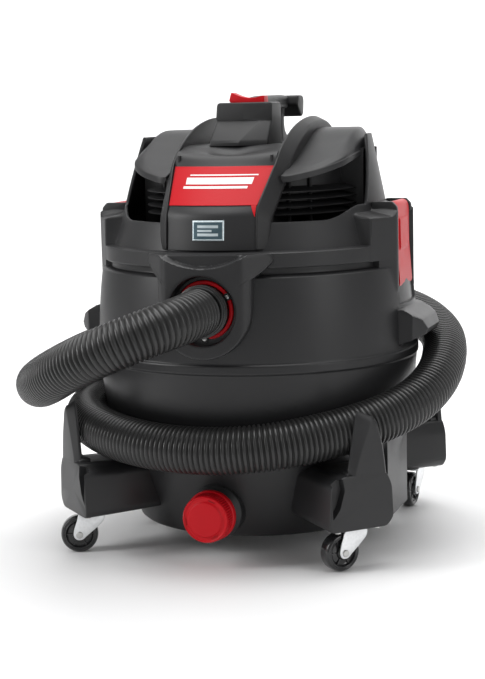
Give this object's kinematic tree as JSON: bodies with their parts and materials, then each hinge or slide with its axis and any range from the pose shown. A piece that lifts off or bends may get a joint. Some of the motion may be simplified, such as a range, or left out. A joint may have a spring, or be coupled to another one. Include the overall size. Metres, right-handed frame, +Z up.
{
  "type": "wet and dry shop vacuum",
  "caption": "Wet and dry shop vacuum: a round drum on swivel casters, a latched motor head with a carry handle and a ribbed suction hose wrapped round the drum.",
  "frame": {"origin": "on the floor under the drum's axis, at the centre of the object's footprint without the hose", "axes": "+Z up along the drum's axis, -Y towards the front where the hose inlet and the drain are, +X towards the right-hand latch seen from above with the front down"},
  "size_m": [0.6037, 0.6612, 0.6168],
  "materials": {
    "drum_plastic": "dark charcoal moulded plastic, fine satin grain",
    "head_plastic": "dark charcoal moulded plastic, fine satin grain",
    "dark_plastic": "black moulded plastic",
    "red_plastic": "bright red semi-gloss plastic",
    "hose_plastic": "black ribbed hose plastic",
    "badge_plate": "pale blue-grey plate",
    "zinc": "bright zinc plate",
    "bearing_steel": "ground steel",
    "laminated_steel": "steel laminations and copper windings",
    "fan_aluminium": "pressed sheet",
    "wheel_plastic": "hard black plastic",
    "seal_rubber": "matt black rubber",
    "filter_paper": "pleated filter paper"
  },
  "bodies": {
    "drum": {"drum": "drum_plastic", "inlet_ring": "red_plastic", "inlet_screws": "zinc", "inlet_deflector": "drum_plastic", "drain_gasket": "seal_rubber", "foot_screws": "zinc", "hose_tube": "hose_plastic", "hose_inlet_cuff": "hose_plastic", "hose_end_cuff": "hose_plastic", "foot_front_left": "drum_plastic", "foot_front_right": "drum_plastic", "foot_rear_left": "drum_plastic", "foot_rear_right": "drum_plastic"},
    "drain_cap": {"drain_cap": "red_plastic"},
    "head": {"lid": "head_plastic", "lid_gasket": "seal_rubber", "bridge": "head_plastic", "label_panel": "red_plastic", "badge_plate": "badge_plate", "side_cover_right": "head_plastic", "side_cover_left": "head_plastic", "vent_grille_right": "dark_plastic", "vent_grille_left": "dark_plastic", "rail_right": "head_plastic", "rail_left": "head_plastic", "blower_port": "dark_plastic", "cord_grommet": "seal_rubber", "switch_tower": "head_plastic", "switch_body": "dark_plastic", "carry_handle": "head_plastic", "handle_screws": "zinc", "motor_housing": "dark_plastic", "motor_stator": "laminated_steel", "motor_bearings": "bearing_steel", "fan_housing": "dark_plastic", "float_cage": "dark_plastic", "filter_cartridge": "filter_paper", "filter_end_rings": "seal_rubber", "filter_retainer": "dark_plastic", "latch_pins": "bearing_steel"},
    "rotor": {"motor_armature": "laminated_steel", "motor_shaft": "bearing_steel", "fan_wheel": "fan_aluminium"},
    "float": {"float_ball": "dark_plastic"},
    "rocker": {"switch_rocker": "red_plastic"},
    "latch_right": {"latch_right": "red_plastic"},
    "latch_left": {"latch_left": "red_plastic"},
    "caster_front_left": {"caster_fork_front_left": "zinc", "caster_axle_front_left": "bearing_steel"},
    "wheel_front_left": {"caster_wheel_front_left": "wheel_plastic"},
    "caster_front_right": {"caster_fork_front_right": "zinc", "caster_axle_front_right": "bearing_steel"},
    "wheel_front_right": {"caster_wheel_front_right": "wheel_plastic"},
    "caster_rear_left": {"caster_fork_rear_left": "zinc", "caster_axle_rear_left": "bearing_steel"},
    "wheel_rear_left": {"caster_wheel_rear_left": "wheel_plastic"},
    "caster_rear_right": {"caster_fork_rear_right": "zinc", "caster_axle_rear_right": "bearing_steel"},
    "wheel_rear_right": {"caster_wheel_rear_right": "wheel_plastic"}
  },
  "joints": [
    {"name": "lid_lift", "type": "slide", "parent": "drum", "child": "head", "axis": [0, 0, 1], "range_m": [0, 0.22]},
    {"name": "latch_right_swing", "type": "hinge", "parent": "head", "child": "latch_right", "pos_m": [0.201, 0, 0.4625], "axis": [0, -1, 0], "range_deg": [0, 60]},
    {"name": "latch_left_swing", "type": "hinge", "parent": "head", "child": "latch_left", "pos_m": [-0.201, 0, 0.4625], "axis": [0, 1, 0], "range_deg": [0, 60]},
    {"name": "rocker_tilt", "type": "hinge", "parent": "head", "child": "rocker", "pos_m": [0, -0.022, 0.595], "axis": [0, -1, 0], "range_deg": [0, 12]},
    {"name": "rotor_spin", "type": "hinge", "parent": "head", "child": "rotor", "pos_m": [0, 0, 0.45], "axis": [0, 0, 1], "continuous": true},
    {"name": "float_rise", "type": "slide", "parent": "head", "child": "float", "axis": [0, 0, 1], "range_m": [0, 0.03]},
    {"name": "drain_cap_turn", "type": "hinge", "parent": "drum", "child": "drain_cap", "pos_m": [0, -0.228, 0.068], "axis": [0, -1, 0], "continuous": true},
    {"name": "caster_front_left_swivel", "type": "hinge", "parent": "drum", "child": "caster_front_left", "pos_m": [-0.182, -0.182, 0.056], "axis": [0, 0, 1], "continuous": true},
    {"name": "wheel_front_left_roll", "type": "hinge", "parent": "caster_front_left", "child": "wheel_front_left", "pos_m": [-0.20133, -0.19021, 0.0254], "axis": [0.3907, -0.9205, 0], "continuous": true},
    {"name": "caster_front_right_swivel", "type": "hinge", "parent": "drum", "child": "caster_front_right", "pos_m": [0.182, -0.182, 0.056], "axis": [0, 0, 1], "continuous": true},
    {"name": "wheel_front_right_roll", "type": "hinge", "parent": "caster_front_right", "child": "wheel_front_right", "pos_m": [0.16822, -0.19785, 0.0254], "axis": [0.7547, -0.6561, 0], "continuous": true},
    {"name": "caster_rear_left_swivel", "type": "hinge", "parent": "drum", "child": "caster_rear_left", "pos_m": [-0.182, 0.182, 0.056], "axis": [0, 0, 1], "continuous": true},
    {"name": "wheel_rear_left_roll", "type": "hinge", "parent": "caster_rear_left", "child": "wheel_rear_left", "pos_m": [-0.1992, 0.16995, 0.0254], "axis": [0.5736, -0.8192, 0], "continuous": true},
    {"name": "caster_rear_right_swivel", "type": "hinge", "parent": "drum", "child": "caster_rear_right", "pos_m": [0.182, 0.182, 0.056], "axis": [0, 0, 1], "continuous": true},
    {"name": "wheel_rear_right_roll", "type": "hinge", "parent": "caster_rear_right", "child": "wheel_rear_right", "pos_m": [0.1798, 0.16112, 0.0254], "axis": [0.9945, -0.1045, 0], "continuous": true}
  ]
}
